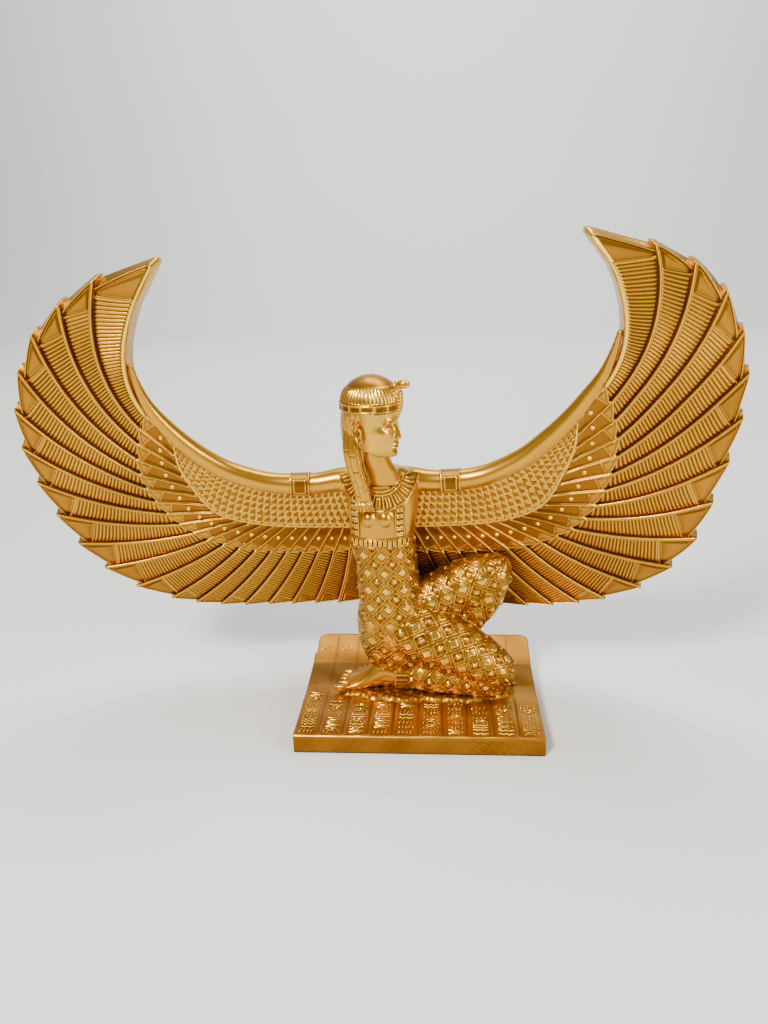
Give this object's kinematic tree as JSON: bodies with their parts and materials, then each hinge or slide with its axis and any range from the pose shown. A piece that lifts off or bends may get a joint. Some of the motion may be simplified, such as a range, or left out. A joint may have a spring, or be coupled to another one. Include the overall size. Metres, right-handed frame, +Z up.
{
  "type": "winged goddess figure on a plinth",
  "caption": "Kneeling goddess with outspread feathered wings, banded wig and cobra, and a lattice gown, on a low slab plinth; one casting in gold paint.",
  "frame": {"origin": "middle of the plinth's underside", "axes": "+X along the plinth's front edge towards the raised knee and the side the face looks to, +Y from the front of the plinth back to the wings, +Z up"},
  "size_m": [0.412, 0.112, 0.304],
  "materials": {
    "gold_paint": "satin metallic gold paint over filled casting resin"
  },
  "bodies": {
    "root": {"winged_goddess": "gold_paint"}
  },
  "joints": []
}
